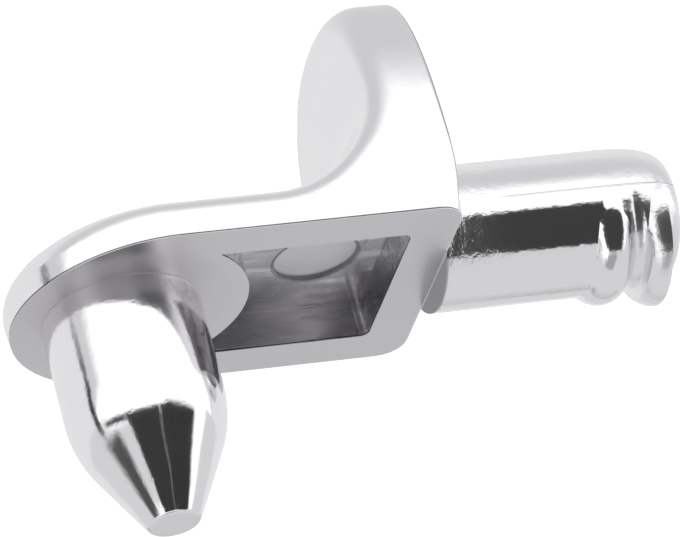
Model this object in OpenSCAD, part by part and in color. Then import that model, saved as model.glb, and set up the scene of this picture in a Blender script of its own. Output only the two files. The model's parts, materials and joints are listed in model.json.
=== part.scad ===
// Shelf support pin: a one-piece zinc die casting.
// The wall pin goes into a 5 mm hole in the cabinet side, the shelf lies on the plate, and the
// peg goes up into a hole in the shelf's underside. The brace tab bears on the cabinet side.
// Origin: the wall pin's axis at the wall face. +X runs away from the wall, +Z is up.

/* [Wall pin] */
// Diameter of the plain shank
pin_d = 4.75; // [3.5:0.05:7]
// Length from the wall face to the end
pin_len = 8.3; // [8:0.05:14]
// Length of the rounded end
pin_round_len = 2.7; // [1:0.05:3]
// Fullness of the rounded end: 2 is an ellipse, and more has a squarer shoulder
pin_fullness = 3; // [2:0.1:4]
// Diameter of the flat at the very end
pin_end_d = 3; // [0.6:0.1:3.2]
// Distance from the pin's end back to the end bead's crest
end_bead_inset = 0.68; // [0.4:0.02:1.2]
// Distance from that crest back to where the bead leaves the shank's surface
end_bead_back = 0.8; // [0.5:0.05:1]
// Height of the end bead over the shank
end_bead_rise = 0.62; // [0.2:0.02:0.8]
// Distance between the crests of the two beads
bead_pitch = 1.85; // [1.6:0.05:2.6]
// Width of the first bead along the pin, where it leaves the shank's surface
first_bead_w = 1.4; // [0.8:0.1:1.6]
// Height of the first bead over the shank
first_bead_rise = 0.38; // [0.2:0.02:0.6]
// Width of the groove between the beads
groove_w = 0.7; // [0.4:0.05:1]
// Depth of that groove under the shank's surface
groove_depth = 0.25; // [0.1:0.05:0.5]

/* [Plate] */
// Length from the wall face to the round tip
plate_len = 14.15; // [12.5:0.05:20]
// Width of the seat face, and diameter of the round tip
plate_w = 9.5; // [7:0.1:12]
// Height of the seat face over the pin's axis
seat_z = 1.5; // [0.8:0.1:2.5]
// Height of the upright side wall under the seat face
rim_h = 0.65; // [0.4:0.05:1.2]
// Radius of the rounded edge all round the underside
edge_r = 0.9; // [0.5:0.05:1.2]
// Rise of the crown across the underside of the plate
plate_crown = 0.5; // [0.1:0.05:0.9]
// Radius of the two corners between seat, side wall and wall face
corner_r = 0.9; // [0.3:0.05:1.2]
// Radius of the long edges down the wall face that these corners run out into
back_r = 0.2; // [0.1:0.05:0.3]
// Distance below the seat face at which the corners have run out
runout_h = 1.5; // [1:0.1:3]

/* [Pocket in the seat] */
// Depth of the pocket
pocket_depth = 1.3; // [0.5:0.05:1.6]
// Width of the rim beside the pocket
rim_w = 1.5; // [1:0.05:2]
// Radius of the pocket's corners
pocket_r = 0.3; // [0.1:0.05:0.6]
// Radius of the solid ground that is left round the peg
ground_r = 4.2; // [3.4:0.1:4.6]
// Diameter of the ejector mark on the pocket's floor
ejector_d = 2.8; // [1.5:0.1:3.2]
// Depth of the ejector mark
ejector_depth = 0.1; // [0.05:0.01:0.2]
// Distance from the wall face to the ejector mark's centre
ejector_x = 3.7; // [3.2:0.05:4.2]

/* [Shelf peg] */
// Diameter of the peg
peg_d = 5.2; // [4:0.1:7]
// Distance from the tip of the plate back to the peg's axis
peg_back = 3.6; // [3.5:0.05:5]
// Height of the peg over the seat face
peg_h = 7.6; // [6.5:0.1:12]
// Height over the seat face at which cylinder and cone would meet
cone_z = 4.4; // [2.5:0.1:5]
// Radius that blends the cylinder into the cone
shoulder_r = 4.2; // [0.5:0.1:5]
// Diameter of the flat on top of the cone
nose_d = 1.7; // [1:0.1:2.5]
// Radius of the nose's edge
nose_r = 0.15; // [0.05:0.01:0.3]

/* [Brace tab] */
// Full width of the tab
tab_w = 10.2; // [7.5:0.1:13]
// Distance below the seat face at which the side walls reach that width
flare_h = 2.5; // [1:0.1:4]
// Distance that the tab reaches below the pin's axis
tab_drop = 7.8; // [6.5:0.05:14]
// Fullness of the tab's outline: 2 is half an ellipse, and more has squarer shoulders
tab_fullness = 3; // [2:0.1:4]
// Thickness of the tab at the bend
tab_t = 2.15; // [1.6:0.05:3]
// Draft of the tab's inner face in degrees, which thins the tab towards its end
tab_draft = 1.5; // [0.5:0.5:5]
// Radius of the inside bend between the plate and the tab
bend_r = 3.8; // [2:0.1:4.5]
// Rise of the slight crown across the tab's face
tab_crown = 0.02; // [0.02:0.02:0.4]

/* [Hidden] */
$fn = 96;

pin_r = pin_d / 2;
peg_r = peg_d / 2;
plate_half = plate_w / 2;
tab_half = tab_w / 2;
peg_x = plate_len - peg_back;
tip_x = plate_len - plate_half;          // centre of the round tip

// The inside bend turns about an axis along Y, which stands this far from the wall and the pin.
bend_x = tab_t + bend_r;
bend_z = seat_z - rim_h - edge_r - bend_r;
// Level at which the underside's rounded edge starts, measured from the bend's axis.
edge_start = bend_r + edge_r;

tip_steps = 16;      // stations round the tip
seat_steps = 8;      // stations along the seat, from the bend's axis to the wall corner
corner_steps = 5;    // stations within the rounded upright corner
wall_steps = 14;     // stations down the wall face
end_steps = 16;      // stations round the end of the tab
round_steps = 7;     // points on a rounded edge
crown_steps = 6;     // points on half of a crown
back_steps = 4;      // points on an upright corner at the wall
pin_steps = 16;      // points on the pin's rounded end
shoulder_steps = 10; // points on the round between the peg's cylinder and cone
nose_steps = 4;      // points on the nose's edge
last_angle = 89;     // the tip and the tab end in a narrow flat, at this many degrees
shy = 0.01;          // overlap that makes two solids one
clear_h = 1;         // height that a cut runs past the seat face

function ramp(t) = let (c = min(1, max(0, t))) c * c * (3 - 2 * c);
function mix(a, b, t) = a + (b - a) * t;

// A dome is the depth of the underside below its rounded edge's start, at distance r from the
// middle of a disc of radius w: a crown of the given rise, then a quarter round at the rim.
function dome_join(w, rise) = 90 - 2 * atan(rise / (w - edge_r));
function dome_depth(w, rise, r) =
    let (join = dome_join(w, rise), big = edge_r + (w - edge_r) / cos(join))
    r > big * cos(join) ? sqrt(max(0, pow(edge_r, 2) - pow(r - w + edge_r, 2)))
                        : edge_r + rise - big + sqrt(pow(big, 2) - r * r);
// Distances from the middle at which a section of that disc gets its points, rim first.
function dome_places(w, rise) =
    let (join = dome_join(w, rise), big = edge_r + (w - edge_r) / cos(join))
    concat([for (i = [0:round_steps]) w - edge_r + edge_r * cos(join * i / round_steps)],
           [for (i = [1:crown_steps]) big * cos(mix(join, 90, i / crown_steps))]);
// Half a section through the disc at a share q of the way to its end: [y, depth], rim first.
function half_dome(w, rise, q) =
    [for (p = dome_places(w, rise)) let (y = p * sqrt(1 - q * q))
        [y, dome_depth(w, rise, norm([w * q, y]))]];

// The side walls flare a little from the seat down to the tab, which ends in half an oval
// below the pin's axis.
function flared_half(z) = mix(plate_half, tab_half, ramp((seat_z - z) / flare_h));
function end_share(z) =
    let (drop = max(0, -z) / tab_drop)
    sqrt(1 - pow(1 - pow(drop, tab_fullness), 2 / tab_fullness));
function half_at(z) = flared_half(z) * sqrt(1 - pow(end_share(z), 2));
// Radius of the edge between side wall and wall face, which starts at a corner of the seat.
function upright_r(z) = mix(corner_r, back_r, ramp((seat_z - z) / runout_h));
// Half width on that edge's rounding of radius r, x from the wall face.
function corner_half(half, x, r) = half - r + sqrt(max(0, r * r - pow(max(0, r - x), 2)));
// Distance from the wall face to the tab's drafted inner face.
function face_x(z) = bend_x - bend_r / cos(tab_draft) + (z - bend_z) * tan(tab_draft);

// A whole ring from its right half, which runs from the flat side to the middle of the underside.
function ring(half) = concat(half, [for (i = [len(half) - 2:-1:0]) [half[i][0], -half[i][1], half[i][2]]]);

// Station on the round tip, where the outline has turned by this angle.
function tip_ring(turn) =
    let (rim_z = seat_z - rim_h, rim_half = half_at(rim_z))
    ring(concat(
        [for (i = [0:back_steps])
            [tip_x + plate_half * sin(turn), plate_half * cos(turn), seat_z]],
        [for (p = half_dome(rim_half, plate_crown, sin(turn)))
            [tip_x + rim_half * sin(turn), p[0], rim_z - p[1]]]));

// Station in the bend, on a plane through its axis and this point of the seat or the wall face.
function bend_ring(x, z) =
    let (turn = atan2(z - bend_z, x - bend_x), r = upright_r(z),
         crown = mix(plate_crown, tab_crown, ramp((turn - 90) / (90 - tab_draft))),
         edge_z = bend_z + edge_start * sin(turn))
    ring(concat(
        [for (i = [0:back_steps])
            let (px = max(x, r * (1 - cos(90 * i / back_steps))),
                 pz = px == x ? z : bend_z + (px - bend_x) * tan(turn))
            [px, corner_half(half_at(pz), px, r), pz]],
        [for (p = half_dome(flared_half(edge_z), crown, end_share(edge_z)))
            let (out = edge_start - p[1]) [bend_x + out * cos(turn), p[0], bend_z + out * sin(turn)]]));

// Station on the tab, level at height z.
function tab_ring(z) =
    let (half = half_at(z), r = min(upright_r(z), half))
    ring(concat(
        [for (i = [0:back_steps])
            let (px = r * (1 - cos(90 * i / back_steps))) [px, corner_half(half, px, r), z]],
        [for (p = half_dome(flared_half(z), tab_crown, end_share(z)))
            [face_x(z) - edge_r + p[1], p[0], z]]));

wall_turn = atan2(seat_z - bend_z, -bend_x);
end_turn = asin(-bend_z / tab_drop);
rings = concat(
    [for (i = [0:tip_steps]) tip_ring(last_angle * (1 - i / tip_steps))],
    [for (i = [0:seat_steps]) bend_ring(mix(bend_x, corner_r, i / seat_steps), seat_z)],
    [for (i = [1:corner_steps]) bend_ring(corner_r * (1 - sin(90 * i / corner_steps)), seat_z)],
    [for (i = [1:wall_steps])
        bend_ring(0, bend_z - bend_x * tan(mix(wall_turn, 180 - tab_draft, i / wall_steps)))],
    [for (i = [1:end_steps]) tab_ring(-tab_drop * sin(mix(end_turn, last_angle, i / end_steps)))]);

// Plate, bend and tab: one skin lofted through the stations, closed at both ends.
module strap() {
    count = len(rings[0]);
    last = (len(rings) - 1) * count;
    polyhedron(
        points = [for (r = rings) each r],
        faces = concat(
            [[for (j = [0:count - 1]) j]],
            [[for (j = [count - 1:-1:0]) last + j]],
            [for (i = [0:len(rings) - 2], j = [0:count - 1])
                let (a = i * count + j, b = i * count + (j + 1) % count)
                each [[a, a + count, b + count], [a, b + count, b]]]));
}

// Pocket that lightens the plate, up to the solid ground round the peg.
module pocket() {
    wide = plate_w - 2 * rim_w;
    long = peg_x - rim_w;
    translate([rim_w, 0, seat_z - pocket_depth])
        linear_extrude(pocket_depth + clear_h)
            difference() {
                union() {
                    translate([pocket_r, -wide / 2]) square([long, wide]);
                    translate([0, pocket_r - wide / 2]) square([long, wide - 2 * pocket_r]);
                    for (side = [-1, 1])
                        translate([pocket_r, side * (wide / 2 - pocket_r)]) circle(pocket_r);
                }
                translate([long, 0]) circle(ground_r);
                translate([long, -wide]) square([wide + peg_d, 2 * wide]);
            }
    translate([ejector_x, 0, seat_z - pocket_depth - ejector_depth])
        cylinder(d = ejector_d, h = ejector_depth + shy);
}

// Points on the round that blends the peg's cylinder into its cone, and on the nose's edge.
function arc(x, z, r, from, to, steps) =
    [for (i = [0:steps]) let (t = mix(from, to, i / steps)) [x + r * cos(t), z + r * sin(t)]];

// Peg that goes into the shelf.
module shelf_peg() {
    lean = atan((peg_r - nose_d / 2) / (peg_h - cone_z));      // the cone's half angle
    shoulder_z = cone_z - shoulder_r * tan(lean / 2);
    nose_mid = nose_d / 2 - nose_r * tan((90 - lean) / 2);
    translate([peg_x, 0, seat_z])
        rotate_extrude()
            polygon(concat(
                [[0, -shy], [peg_r, -shy]],
                arc(peg_r - shoulder_r, shoulder_z, shoulder_r, 0, lean, shoulder_steps),
                arc(nose_mid, peg_h - nose_r, nose_r, lean, 90, nose_steps),
                [[0, peg_h]]));
}

// Radius of an arc that falls by this rise over this reach.
function crest_r(reach, rise) = (pow(reach, 2) + pow(rise, 2)) / (2 * rise);

// One flank of a bead's section: it falls from the crest by this rise over this reach, to the wall.
module flank(reach, rise) {
    r = crest_r(reach, rise);
    intersection() {
        translate([pin_r - r, 0]) circle(r);
        translate([0, -reach]) square([pin_r, reach]);
    }
    translate([0, -reach]) square([pin_r - r, reach]);
}

// A bead is a disc with a shaped rim, set off the pin's axis towards +Z by its own rise, so that it
// stands out on top and runs out into the shank at the sides. The groove is set off the other way.
module bead(place, rise) {
    translate([rise, 0, place])
        rotate_extrude()
            children();
}

module groove(place, width, depth) {
    r = crest_r(width / 2, depth);
    translate([-depth, 0, place])
        rotate_extrude()
            translate([pin_r + r, 0]) circle(r);
}

// Wall pin, drawn upright and then laid along -X, which turns its X towards +Z. The end bead has
// one flank only, and is square towards the pin's end.
module wall_pin() {
    end_bead = pin_len - end_bead_inset;
    first_bead = end_bead - bead_pitch;
    first_reach = first_bead_w / 2;
    rotate([0, -90, 0])
        difference() {
            union() {
                rotate_extrude()
                    polygon(concat(
                        [[0, 0], [pin_r, 0]],
                        [for (i = [0:pin_steps])
                            let (t = 90 * i / pin_steps, in = pow(cos(t), 2 / pin_fullness),
                                 along = pow(sin(t), 2 / pin_fullness))
                            [mix(pin_end_d / 2, pin_r, in), pin_len - pin_round_len * (1 - along)]],
                        [[0, pin_len]]));
                bead(first_bead, first_bead_rise) {
                    flank(first_reach, first_bead_rise);
                    mirror([0, 1]) flank(first_reach, first_bead_rise);
                }
                bead(end_bead, end_bead_rise)
                    flank(end_bead_back, end_bead_rise);
            }
            groove((first_bead + first_reach + end_bead - end_bead_back) / 2, groove_w, groove_depth);
        }
}

module shelf_support() {
    color("silver") {
        difference() {
            strap();
            pocket();
        }
        shelf_peg();
        wall_pin();
    }
}

shelf_support();
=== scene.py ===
"""A cast shelf support: bright nickel plate over zinc, in a white studio."""
import json
import math

import bmesh
import bpy
from mathutils import Matrix, Vector


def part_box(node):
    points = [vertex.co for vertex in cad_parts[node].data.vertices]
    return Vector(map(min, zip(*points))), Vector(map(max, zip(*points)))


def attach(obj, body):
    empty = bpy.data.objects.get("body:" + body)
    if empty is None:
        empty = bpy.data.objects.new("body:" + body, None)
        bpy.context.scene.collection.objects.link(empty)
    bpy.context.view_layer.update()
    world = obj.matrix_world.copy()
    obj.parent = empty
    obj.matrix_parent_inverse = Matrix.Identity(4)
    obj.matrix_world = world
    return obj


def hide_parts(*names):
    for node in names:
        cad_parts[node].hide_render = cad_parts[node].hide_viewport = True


MM = 0.001  # sizes below are in millimetres times this

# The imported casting. X runs out from the wall along the plate, and Z up along the peg. The pin's
# axis is at 0.
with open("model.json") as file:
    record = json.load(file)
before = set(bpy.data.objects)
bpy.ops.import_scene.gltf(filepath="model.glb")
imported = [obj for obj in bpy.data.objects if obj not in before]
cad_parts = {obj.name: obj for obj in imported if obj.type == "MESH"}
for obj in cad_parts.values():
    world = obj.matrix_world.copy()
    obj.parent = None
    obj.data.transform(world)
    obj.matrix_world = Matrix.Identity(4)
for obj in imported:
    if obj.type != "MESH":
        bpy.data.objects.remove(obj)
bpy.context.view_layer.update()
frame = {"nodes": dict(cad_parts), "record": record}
BODY = "root"
CASTING = frame["nodes"]["shelf_support"]
FLOOR_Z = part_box("shelf_support")[0].z
MOUNT_PLACES = {mount["name"]: mount["pos_m"] for mount in frame["record"]["mounts"]}
SEAT_Z = MOUNT_PLACES["seat"][2]
PEG_X = MOUNT_PLACES["shelf_peg"][0]

# The casting's skin.
WELD = 0.002 * MM  # points nearer than this are one
FLAT_ANGLE = math.radians(0.4)  # faces that turn less than this are one
EDGE_ANGLE = math.radians(32)  # edges sharper than this stay crisp
EDGE_BREAK = 0.1 * MM  # radius that the plating leaves on them

# Where the finish and the painted shade change. A pair holds the places between which it changes,
# or between which a zone lies.
SOFT = 0.02 * MM  # most zones end this softly
FINE = 0.01 * MM  # and the zones at the seat's plane this softly
WALL = (0.0, 0.1 * MM)  # from the wall's plane to the plate
PIN_END = (-0.25 * MM, 0.0)  # from the pin to the wall's plane
ROOT_PATCH = (-2.6 * MM, -0.9 * MM)  # the rough patch grows towards the wall
BEADS = (-6.7 * MM, -5.5 * MM)  # the beads' softer finish fades towards the wall
PARTING_LINE = (-2.6 * MM, -1.4 * MM)  # and so does the parting line
PARTING_HALF = 0.03 * MM  # its half width
SEAT_SKIN = 0.02 * MM  # what lies this near the seat's plane is the seat
SEAT_LINE = 0.065 * MM  # the painted shade line at the seat's edge reaches this far under it
WALL_LINE = (0.03 * MM, 0.1 * MM)  # the painted shade line at the wall's edge
WALL_LINE_TOP = (SEAT_Z - 0.2 * MM, SEAT_Z - 0.1 * MM)  # fades between these heights
ROOT_FACE = 0.06 * MM  # the face at the pin's root, painted in shade, is this near the wall's plane
ROOT_FACE_FOOT = (SEAT_Z + SEAT_SKIN, SEAT_Z + 0.06 * MM)  # and begins between these heights
# The pocket is painted darker, as shade in the recess, and streaked by flow marks.
POCKET_HALF = 3.3 * MM  # the pocket reaches this far to each side
POCKET_X = (1.4 * MM, 9.1 * MM)
POCKET_Z = (0.15 * MM, SEAT_Z - 0.1 * MM)
POCKET_EDGE = 0.05 * MM  # its sides end this softly
EJECTOR_X = 3.7 * MM  # middle of the ejector mark, in the pocket's floor
EJECTOR_Z = (0.05 * MM, 0.14 * MM)
EJECTOR_LINE = (1.38 * MM, 1.5 * MM)  # radii of the painted shade line round it, which is also duller
EJECTOR_LINE_Z = (0.0, 0.35 * MM)
PEG_SIDE = (9.9 * MM, 10.9 * MM)  # the peg's mottled side, towards the wall, fades between these places
PEG_SIDE_SLANT = 0.36  # they lie this much nearer the wall for each unit of height
PEG_SIDE_FOOT = (SEAT_Z + 0.08 * MM, SEAT_Z + 0.25 * MM)
PEG_SIDE_TOP = (2.2 * MM, 4.6 * MM)
PEG_FOOT = (3.4 * MM, 4.3 * MM)  # radii between which the duller seat round the peg fades

# Finish. Noise is sized in features per metre.
WAVES, CLOUD, FLOW, RIPPLE, PITS = 620, 240, 1300, 3000, 5200
FLOW_STRETCH = (0.25, 1.3, 1.3)  # flow marks are long towards the wall
COOL_PLATE = (0.85, 0.845, 0.875, 1)
WARM_PLATE = (0.90, 0.88, 0.895, 1)
# grey of the bare casting, also used as painted shade in the pocket and on the face at the pin's root
CAST_GREY_AND_SHADE = (0.42, 0.41, 0.43, 1)
# painted shade along the thin edges and round the ejector mark
PAINTED_SHADE_GREY = (0.12, 0.12, 0.13, 1)
RELIEF = 0.012 * MM  # how high a value of 1 in the relief stands

# Camera: its place, two of its axes, and the level direction to it from the casting.
CAMERA_PLACE = Vector((63.9, -167.8, 91.9)) * MM
CAMERA_RIGHT = Vector((-0.94733, -0.21467, 0.23766))
CAMERA_BACK = Vector((0.30384, -0.83703, 0.45504))
CAMERA_SIDE = Vector((0.34, -0.94))
CAMERA_LENS = 329.6  # mm, like the sensor's width
CAMERA_SENSOR = 36

# Studio.
TENT_LIGHT = 0.72
WHITE = 1.1  # what the camera sees of the tent
CARD_LINE = 20  # mm from the peg to the line of cards at the camera's side
FLOOR_HALF = 3  # metres
PAPER = (0.6, 0.6, 0.6, 1)
PAPER_GLOW = 0.75
FRONT_FADE = (-13 * MM, -6 * MM)  # in reflections a painted shadow darkens the paper in front between these places
FRONT_LIGHT = (1.3, 0.68)  # from the first of these to the second
BACK_FADE = (-4 * MM, 0.0)  # and between these the painted shadow turns to its light behind
BACK_LIGHT = 0.84


def collection_object(name, mesh):
    obj = bpy.data.objects.new(name, mesh)
    bpy.context.scene.collection.objects.link(obj)
    return obj


class Graph:
    """Short calls for the nodes of one tree."""

    def __init__(self, tree):
        self.tree = tree

    def node(self, kind, **settings):
        made = self.tree.nodes.new(kind)
        for name, value in settings.items():
            setattr(made, name, value)
        return made

    def feed(self, value, socket):
        """Link a socket to the input, or set the input to a plain value."""
        if isinstance(value, bpy.types.NodeSocket):
            self.tree.links.new(value, socket)
        else:
            socket.default_value = value

    def math(self, operation, *values):
        made = self.node("ShaderNodeMath", operation=operation)
        for value, socket in zip(values, made.inputs):
            self.feed(value, socket)
        return made.outputs[0]

    def fold(self, operation, first, *others):
        for other in others:
            first = self.math(operation, first, other)
        return first

    def total(self, *values):
        return self.fold("ADD", *values)

    def times(self, *values):
        return self.fold("MULTIPLY", *values)

    def most(self, *values):
        return self.fold("MAXIMUM", *values)

    def distance(self, x, y, centre_x):
        """How far a place is from an upright axis at centre_x."""
        across = self.math("SUBTRACT", x, centre_x)
        squares = self.total(self.math("POWER", across, 2.0), self.math("POWER", y, 2.0))
        return self.math("SQRT", squares)

    def split(self, vector):
        made = self.node("ShaderNodeSeparateXYZ")
        self.feed(vector, made.inputs[0])
        return made.outputs

    def step(self, value, low, high, out_low=0.0, out_high=1.0):
        """A soft step of value, from out_low at low to out_high at high."""
        made = self.node("ShaderNodeMapRange", interpolation_type="SMOOTHSTEP")
        for name, part in (("Value", value), ("From Min", low), ("From Max", high),
                           ("To Min", out_low), ("To Max", out_high)):
            self.feed(part, made.inputs[name])
        return made.outputs["Result"]

    def fall(self, value, low, high):
        """A soft step down, from 1 at low to 0 at high."""
        return self.step(value, low, high, 1.0, 0.0)

    def window(self, value, low, high, soft):
        """1 where value lies between low and high, and 0 beyond a soft edge."""
        return self.times(self.step(value, low - soft, low + soft),
                          self.fall(value, high - soft, high + soft))

    def blend(self, mask, under, over, kind="FLOAT"):
        made = self.node("ShaderNodeMix", data_type=kind)
        self.feed(mask, made.inputs["Factor"])
        self.feed(under, made.inputs["A"])
        self.feed(over, made.inputs["B"])
        return made.outputs["Result"]

    def noise(self, place, scale, detail=2.0, roughness=0.5):
        """Noise with features of 1 / scale metres, from 0 to 1."""
        made = self.node("ShaderNodeTexNoise")
        for name, part in (("Vector", place), ("Scale", scale),
                           ("Detail", detail), ("Roughness", roughness)):
            self.feed(part, made.inputs[name])
        return made.outputs["Fac"]

    def show(self, mask, under, over):
        """Mix two shaders into the material's surface."""
        mixed = self.node("ShaderNodeMixShader")
        self.feed(mask, mixed.inputs[0])
        self.feed(under.outputs[0], mixed.inputs[1])
        self.feed(over.outputs[0], mixed.inputs[2])
        self.feed(mixed.outputs[0], self.tree.nodes["Material Output"].inputs["Surface"])


def new_material(name):
    material = bpy.data.materials.new(name)
    material.use_nodes = True
    return material, Graph(material.node_tree)


def finish_and_shade_zones(g, x, y, z):
    """The places where the finish and the painted shade change, as masks: 1 inside, and 0 outside."""
    on_plate = g.step(x, *WALL)
    on_pin = g.fall(x, *PIN_END)
    seat = g.times(on_plate, g.window(z, SEAT_Z - SEAT_SKIN, SEAT_Z + SEAT_SKIN, FINE))
    # painted shade line just under the seat's edge
    seat_edge = g.times(on_plate, g.window(z, SEAT_Z - SEAT_LINE, SEAT_Z - SEAT_SKIN, FINE))
    in_pocket = g.times(g.window(y, -POCKET_HALF, POCKET_HALF, POCKET_EDGE),
                        g.window(x, *POCKET_X, POCKET_EDGE))
    ejector_ring = g.window(g.distance(x, y, EJECTOR_X), *EJECTOR_LINE, SOFT)
    to_wall = g.fall(g.total(x, g.times(PEG_SIDE_SLANT, z)), *PEG_SIDE)
    return dict(
        on_pin=on_pin,
        seat=seat,
        seat_edge=seat_edge,
        beads=g.fall(x, *BEADS),
        root_patch=g.times(on_pin, g.step(x, *ROOT_PATCH)),
        # the face at the pin's root, where shade is painted
        root_face=g.times(g.window(x, -ROOT_FACE, ROOT_FACE, SOFT), g.step(z, *ROOT_FACE_FOOT)),
        # painted shade line at the wall's edge
        wall_edge=g.times(g.window(x, *WALL_LINE, 1.2 * FINE), g.fall(z, *WALL_LINE_TOP)),
        parting_line=g.times(g.fall(x, *PARTING_LINE), g.window(z, -PARTING_HALF, PARTING_HALF, SOFT)),
        pocket=g.times(in_pocket, g.window(z, *POCKET_Z, SOFT)),
        ejector_mark=g.times(in_pocket, g.window(z, *EJECTOR_Z, SOFT)),
        # painted shade line round the ejector mark, which is also duller
        ejector_rim=g.times(in_pocket, ejector_ring, g.window(z, *EJECTOR_LINE_Z, 2.5 * SOFT)),
        peg_side=g.times(to_wall, on_plate, g.step(z, *PEG_SIDE_FOOT), g.fall(z, *PEG_SIDE_TOP)),
        peg_foot=g.times(seat, g.fall(g.distance(x, y, PEG_X), *PEG_FOOT)))


def plated_metal():
    """Bright plate over a casting. The die leaves slow waves, fine pits, a rough patch at the pin's
    root, softer beads, a mottled side on the peg and a parting line along the pin. The seat and the
    ejector mark are satin, and the pocket is duller, with flow marks. Painted shade darkens the
    pocket, the face at the pin's root, the thin edges and a ring round the ejector mark."""
    material, g = new_material("bright_nickel_plate")
    shader = g.tree.nodes["Principled BSDF"]
    shader.inputs["Metallic"].default_value = 1
    place = g.node("ShaderNodeTexCoord").outputs["Object"]
    zone = finish_and_shade_zones(g, *g.split(place))
    satin = g.most(zone["seat"], zone["ejector_mark"])
    rough = g.most(zone["root_patch"], g.times(0.35, zone["peg_side"]))

    waves = g.noise(place, WAVES, detail=2, roughness=0.45)
    ripple = g.noise(place, RIPPLE, detail=3, roughness=0.6)
    pits = g.step(g.noise(place, PITS, detail=2), 0.30, 0.38)
    cloud = g.noise(place, CLOUD, detail=3, roughness=0.6)
    stretched = g.node("ShaderNodeMapping")
    stretched.inputs["Scale"].default_value = FLOW_STRETCH
    g.feed(place, stretched.inputs["Vector"])
    flow = g.noise(stretched.outputs[0], FLOW, detail=3, roughness=0.6)

    # Colour: clouded plate, greying towards the cast metal where it is rubbed, with painted shade in
    # the pocket, on the face at the pin's root and along the thin edges.
    plate = g.blend(cloud, COOL_PLATE, WARM_PLATE, "RGBA")
    wear_and_shade = g.most(g.times(0.4, zone["parting_line"]),
                  # the pocket painted darker as shade in the recess, streaked by flow marks
                  g.times(zone["pocket"], g.step(flow, 0.35, 0.62, 0.25, 0.9)),
                  g.times(0.38, satin),
                  # painted shade on the face at the pin's root
                  g.times(0.9, zone["root_face"]),
                  g.times(zone["peg_side"], g.step(ripple, 0.35, 0.6, 0.6, 0.25)))
    worn_and_shaded = g.blend(wear_and_shade, plate, CAST_GREY_AND_SHADE, "RGBA")
    # painted shade along the seat's and the wall's edges and round the ejector mark
    painted_edge_shade = g.most(zone["seat_edge"],
                   g.times(0.65, zone["wall_edge"]),
                   g.times(0.55, zone["ejector_rim"]))
    g.feed(g.blend(painted_edge_shade, worn_and_shaded, PAINTED_SHADE_GREY, "RGBA"), shader.inputs["Base Color"])

    # Roughness: nearly a mirror, and duller by zone.
    dull = g.total(g.step(cloud, 0.35, 0.7, 0.055, 0.12),
                   g.times(0.05, ripple),
                   g.times(0.21, satin),
                   g.times(0.16, zone["peg_foot"]),
                   g.times(0.14, zone["beads"]),
                   g.times(0.275, zone["ejector_rim"]),
                   g.times(0.05, rough),
                   g.times(zone["pocket"], g.step(flow, 0.3, 0.7, 0.05, 0.2)))
    g.feed(dull, shader.inputs["Roughness"])

    # Relief: the fine grain is ground off the seat, and nearly so in the pocket.
    grain = g.total(g.step(cloud, 0.40, 0.60, 0.15, 0.5), g.times(1.1, rough),
                    g.times(0.5, zone["on_pin"]), g.times(0.9, zone["beads"]))
    ground = g.most(zone["seat"], g.times(0.9, zone["pocket"]))
    fine = g.times(g.total(g.times(ripple, grain), g.times(0.05, pits)),
                   g.math("SUBTRACT", 1.0, ground))
    relief = g.total(g.times(1.2, waves), fine,
                     g.times(0.6, zone["parting_line"]),
                     g.times(0.8, zone["pocket"], flow))
    bump = g.node("ShaderNodeBump")
    g.feed(1.0, bump.inputs["Strength"])
    g.feed(RELIEF, bump.inputs["Distance"])
    g.feed(relief, bump.inputs["Height"])
    g.feed(bump.outputs[0], shader.inputs["Normal"])
    return material


def casting_skin():
    """The casting's own surface, merged, with its crisp edges broken by a fine round."""
    mesh = bpy.data.meshes.new("casting_skin")
    bm = bmesh.new()
    bm.from_mesh(CASTING.data)
    bmesh.ops.remove_doubles(bm, verts=bm.verts, dist=WELD)
    bmesh.ops.dissolve_degenerate(bm, edges=bm.edges, dist=WELD)
    bmesh.ops.dissolve_limit(bm, angle_limit=FLAT_ANGLE, verts=bm.verts, edges=bm.edges)
    for face in bm.faces:
        face.smooth = True
    bm.to_mesh(mesh)
    bm.free()
    skin = collection_object("casting_skin", mesh)
    mesh.set_sharp_from_angle(angle=EDGE_ANGLE)
    bevel = skin.modifiers.new("edge_break", "BEVEL")
    bevel.width = EDGE_BREAK
    bevel.segments = 2
    bevel.limit_method = "ANGLE"
    bevel.angle_limit = EDGE_ANGLE
    bevel.use_clamp_overlap = True
    normals = skin.modifiers.new("flat_faces_first", "WEIGHTED_NORMAL")
    normals.mode = "FACE_AREA_WITH_ANGLE"
    normals.keep_sharp = True
    normals.weight = 50
    mesh.materials.append(plated_metal())
    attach(skin, BODY)
    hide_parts("shelf_support")


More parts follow.
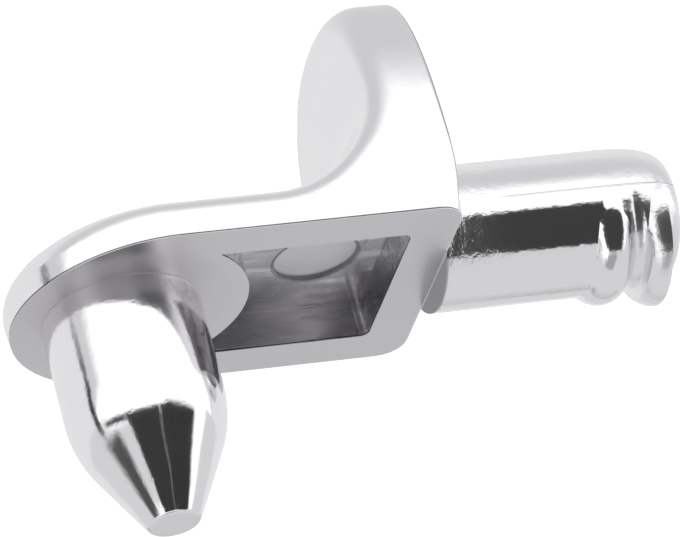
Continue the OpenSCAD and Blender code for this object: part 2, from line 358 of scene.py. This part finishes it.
def studio_world():
    """A white tent. Each of its areas is a turn, how softly that ends, a height and a light. Turns and
    heights are in degrees. Turn 0 is the camera's side, and it grows towards +X."""
    world = bpy.data.worlds.new("white_tent")
    world.use_nodes = True
    g = Graph(world.node_tree)
    x, y, z = g.split(g.node("ShaderNodeTexCoord").outputs["Generated"])
    height = g.math("DEGREES", g.math("ARCSINE", z))
    aside = g.total(g.times(x, -CAMERA_SIDE.y), g.times(y, CAMERA_SIDE.x))
    ahead = g.total(g.times(x, CAMERA_SIDE.x), g.times(y, CAMERA_SIDE.y))
    turn = g.math("DEGREES", g.math("ARCTAN2", aside, ahead))
    light = TENT_LIGHT
    for turns, turn_soft, in_height, shade in (
            ((-90, 60), 14, g.fall(height, 8, 20), 1.3),  # white paper low at the front
            ((-45, 58), 12, g.window(height, 35, 55, 5), 1.25),  # broad light over the camera
            ((-92, -77), 3, g.window(height, 5, 36, 5), 1.25),  # narrow light at the pin's side
            ((-77, -34), 3, g.window(height, 5, 50, 3), 0.04),  # black drape next to it
            ((-55, 70), 10, g.step(height, 55, 66), 0.4)):  # grey roof at the front
        light = g.blend(g.times(g.window(turn, *turns, turn_soft), in_height), light, shade)
    light = g.blend(g.node("ShaderNodeLightPath").outputs["Is Camera Ray"], light, WHITE)
    g.feed(light, world.node_tree.nodes["Background"].inputs["Color"])
    bpy.context.scene.world = world


def card(name, middle, facing, width, height, light, feather):
    """A studio card, seen only in reflections. Its middle and its size are in mm, and it looks along
    facing. Light is one value, or one at its foot and one at its top. Feather is the share of its
    width and height that fades at the edges."""
    mesh = bpy.data.meshes.new(name)
    bm = bmesh.new()
    bm.loops.layers.uv.new("across_and_up")
    bmesh.ops.create_grid(bm, x_segments=1, y_segments=1, size=0.5, calc_uvs=True)
    bmesh.ops.scale(bm, verts=bm.verts, vec=(width * MM, height * MM, 1))
    turn = Vector(facing).to_track_quat("Z", "Y").to_matrix().to_4x4()
    to_middle = Matrix.Translation(Vector(middle) * MM)
    bmesh.ops.transform(bm, verts=bm.verts, matrix=to_middle @ turn)
    bm.to_mesh(mesh)
    bm.free()
    obj = collection_object(name, mesh)
    obj.visible_camera = False
    obj.visible_diffuse = False
    obj.visible_shadow = False
    material, g = new_material(name)
    g.tree.nodes.remove(g.tree.nodes["Principled BSDF"])
    across, up, _ = g.split(g.node("ShaderNodeTexCoord").outputs["UV"])
    soft = feather / 2
    if isinstance(light, tuple):
        light = g.step(up, 0.1, 0.9, *light)
    glow = g.node("ShaderNodeEmission")
    g.feed(light, glow.inputs["Strength"])
    inside = g.times(g.window(across, soft, 1 - soft, soft), g.window(up, soft, 1 - soft, soft))
    g.show(inside, g.node("ShaderNodeBsdfTransparent"), glow)
    mesh.materials.append(material)


def beside_camera(along, height):
    """A place, in mm, on the line of cards at the camera's side."""
    square = Vector((-CAMERA_SIDE.y, CAMERA_SIDE.x))
    spot = Vector((PEG_X / MM, 0)) + CAMERA_SIDE * CARD_LINE + square * along
    return (spot.x, spot.y, height)


def studio_cards():
    """Cards that draw the casting's forms, most of them dark or grey. The first two stand close to
    the pin."""
    away = (-CAMERA_SIDE.x, -CAMERA_SIDE.y, 0)
    card("dark_flag_by_pin", (-7.2, -7, 5.7), (0, 1, 0), 11.5, 11.6, 0.05, 0.06)
    card("white_shield_by_pin", (-0.5, -5.5, 6), (1, 0, 0), 3.2, 15, 1.25, 0.06)
    card("dark_bar_by_camera", beside_camera(-3.6, 19), away, 27.2, 22, 0.04, 0.06)
    card("pale_post_by_camera", beside_camera(-8.5, 19), away, 1.3, 24, 0.2, 0.3)
    card("dark_ledge", beside_camera(21, 9.6), away, 38, 4, 0.03, 0.3)
    card("dark_strip_by_peg", (28.5, -1, 2), (-1, 0, 0), 3.2, 21, 0.03, 0.3)
    card("dark_strip_above", (28.5, -3.5, 16), (-1, 0, 0), 14, 14, 0.08, 0.3)
    card("grey_sweep_behind", (-6, 40, 27), (0, -1, 0), 60, 16, (0.56, 0.68), 0.1)
    card("grey_flag_behind", (17, 39.5, 22), (0, -1, 0), 18, 16, 0.36, 0.6)


def studio_floor():
    """White paper under the part. In reflections it glows, with a painted shadow that makes it greyer
    close by and behind the part.
    """
    mesh = bpy.data.meshes.new("studio_floor")
    bm = bmesh.new()
    bmesh.ops.create_grid(bm, x_segments=1, y_segments=1, size=FLOOR_HALF)
    bmesh.ops.translate(bm, verts=bm.verts, vec=(0, 0, FLOOR_Z))
    bm.to_mesh(mesh)
    bm.free()
    floor = collection_object("studio_floor", mesh)
    material, g = new_material("white_paper")
    paper = g.tree.nodes["Principled BSDF"]
    paper.inputs["Base Color"].default_value = PAPER
    paper.inputs["Roughness"].default_value = 0.9
    paper.inputs["Emission Color"].default_value = (1, 1, 1, 1)
    paper.inputs["Emission Strength"].default_value = PAPER_GLOW
    _, y, _ = g.split(g.node("ShaderNodeTexCoord").outputs["Object"])
    painted_shadow_in_front = g.step(y, *FRONT_FADE, *FRONT_LIGHT)
    glow = g.node("ShaderNodeEmission")
    g.feed(g.blend(g.step(y, *BACK_FADE), painted_shadow_in_front, BACK_LIGHT), glow.inputs["Strength"])
    # only reflections see the glowing paper with its painted shadow
    g.show(g.node("ShaderNodeLightPath").outputs["Is Glossy Ray"], paper, glow)
    mesh.materials.append(material)


def studio_camera():
    data = bpy.data.cameras.new("studio_camera")
    data.lens = CAMERA_LENS
    data.sensor_width = CAMERA_SENSOR
    data.clip_start = 0.01
    data.clip_end = 20
    camera = collection_object("studio_camera", data)
    up = CAMERA_BACK.cross(CAMERA_RIGHT)
    turn = Matrix((CAMERA_RIGHT, up, CAMERA_BACK)).transposed()
    camera.matrix_world = Matrix.Translation(CAMERA_PLACE) @ turn.to_4x4()
    bpy.context.scene.camera = camera


bpy.context.scene.view_settings.view_transform = "Standard"
casting_skin()
studio_world()
studio_cards()
studio_floor()
studio_camera()
